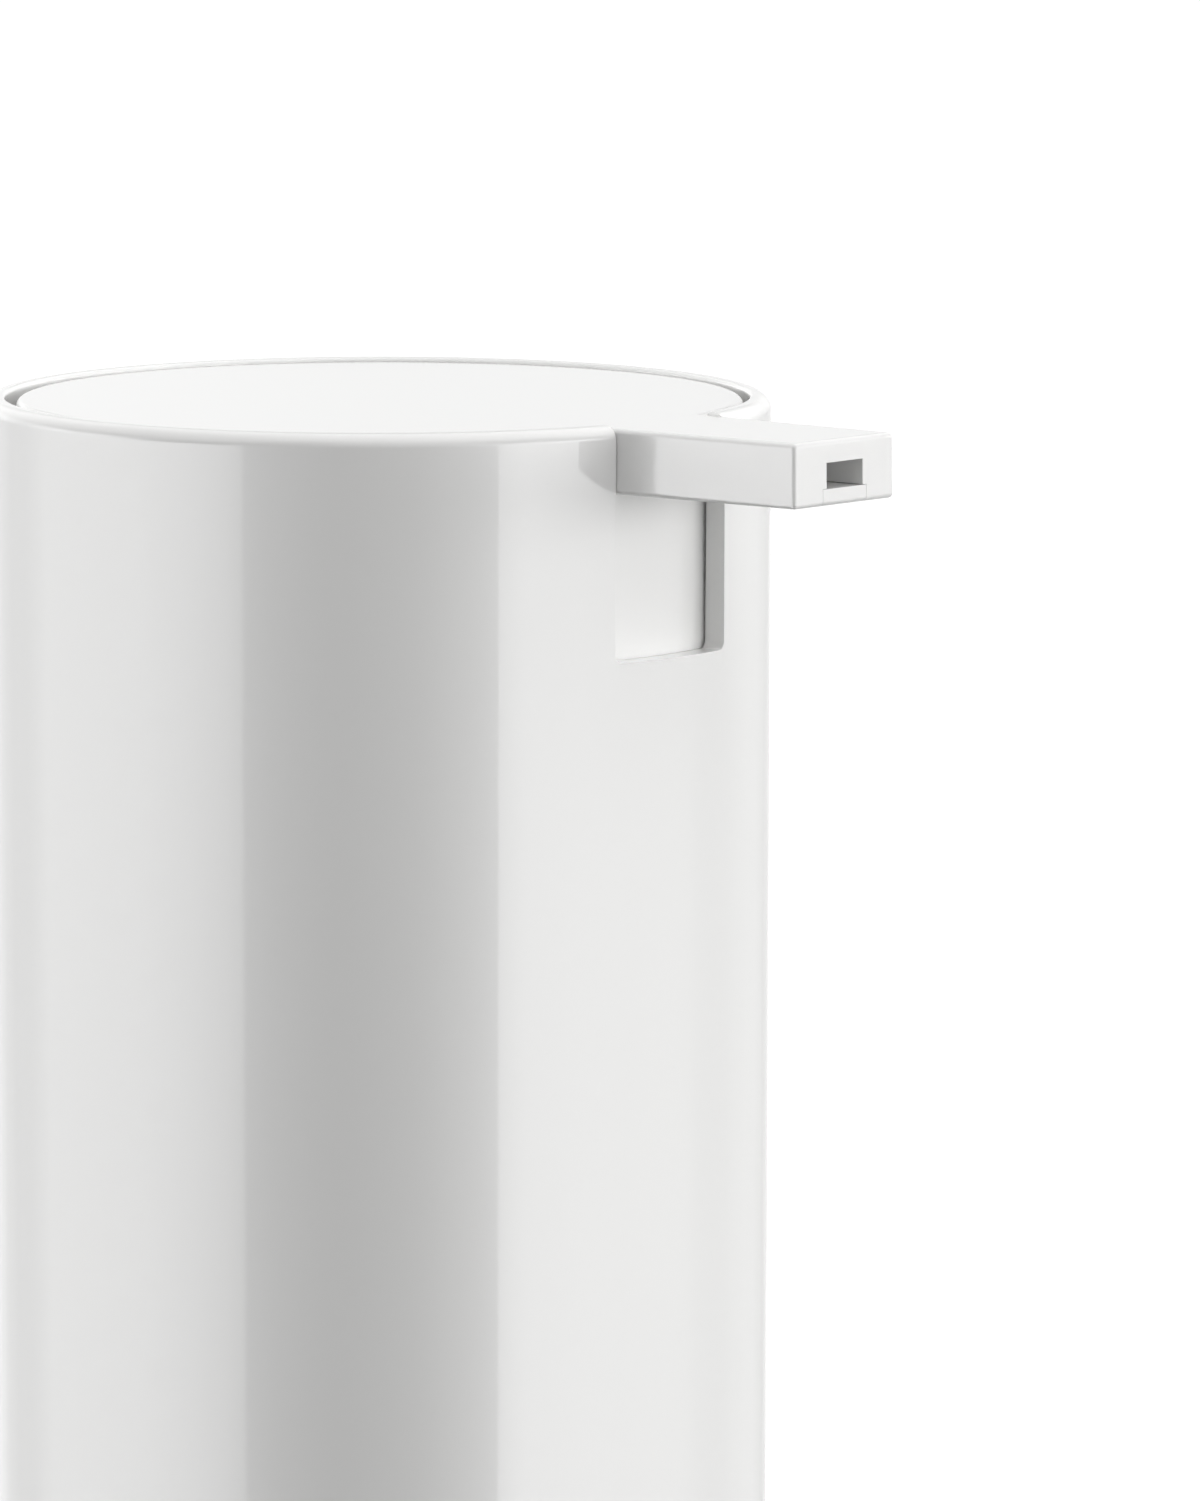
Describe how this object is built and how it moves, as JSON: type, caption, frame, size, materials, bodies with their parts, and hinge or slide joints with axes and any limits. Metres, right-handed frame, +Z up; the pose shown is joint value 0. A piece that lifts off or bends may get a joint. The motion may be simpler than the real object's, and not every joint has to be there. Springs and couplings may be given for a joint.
{
  "type": "press-top liquid soap dispenser",
  "caption": "Round countertop soap dispenser with a flush press-down top, a straight bar spout that runs in a slot, and a lift-out bottle with pump.",
  "frame": {"origin": "centre of the foot pad's underside, on the casing's axis", "axes": "+Z up along the casing's axis; the spout points along -Y; +X to the right when the spout points at the viewer"},
  "size_m": [0.072, 0.0915, 0.15],
  "materials": {
    "white_gloss": "high gloss moulded white",
    "white_satin": "satin moulded white",
    "milky": "translucent, satin",
    "seal_white": "soft satin",
    "grey_rubber": "matte",
    "steel": "bright drawn stainless"
  },
  "bodies": {
    "housing": {"casing": "white_gloss", "foot_pad": "grey_rubber"},
    "refill": {"bottle": "milky"},
    "pump": {"neck_gasket": "grey_rubber", "pump_barrel": "milky", "barrel_cap": "white_satin", "stem_wiper": "seal_white", "ball_cage": "seal_white", "return_spring": "steel", "dip_tube": "milky"},
    "collar": {"screw_collar": "white_satin"},
    "button": {"press_button": "white_gloss", "spout_floor": "white_gloss", "slot_shutter": "white_gloss", "stem_socket": "white_satin", "pump_stem": "white_satin", "piston_rod": "white_satin", "piston_seal": "seal_white"},
    "inlet_valve": {"inlet_ball": "steel"},
    "outlet_valve": {"outlet_ball": "steel"}
  },
  "joints": [
    {"name": "refill_lift", "type": "slide", "parent": "housing", "child": "refill", "axis": [0, 0, 1], "range_m": [0, 0.15]},
    {"name": "pump_rise", "type": "slide", "parent": "refill", "child": "pump", "axis": [0, 0, 1], "range_m": [0, 0.0088]},
    {"name": "collar_turn", "type": "hinge", "parent": "pump", "child": "collar", "pos_m": [0, 0, 0.115], "axis": [0, 0, 1], "range_deg": [0, 760]},
    {"name": "button_press", "type": "slide", "parent": "pump", "child": "button", "axis": [0, 0, -1], "range_m": [0, 0.014], "stiffness_N_per_m": 700, "springref_m": -0.012, "deforming": ["return_spring"]},
    {"name": "inlet_ball_lift", "type": "slide", "parent": "pump", "child": "inlet_valve", "axis": [0, 0, 1], "range_m": [0, 0.0015]},
    {"name": "outlet_ball_lift", "type": "slide", "parent": "button", "child": "outlet_valve", "axis": [0, 0, 1], "range_m": [0, 0.0012]}
  ],
  "couplings": [
    {"joint": "collar_turn", "follows": "pump_rise", "rad_per_m": 1496}
  ]
}
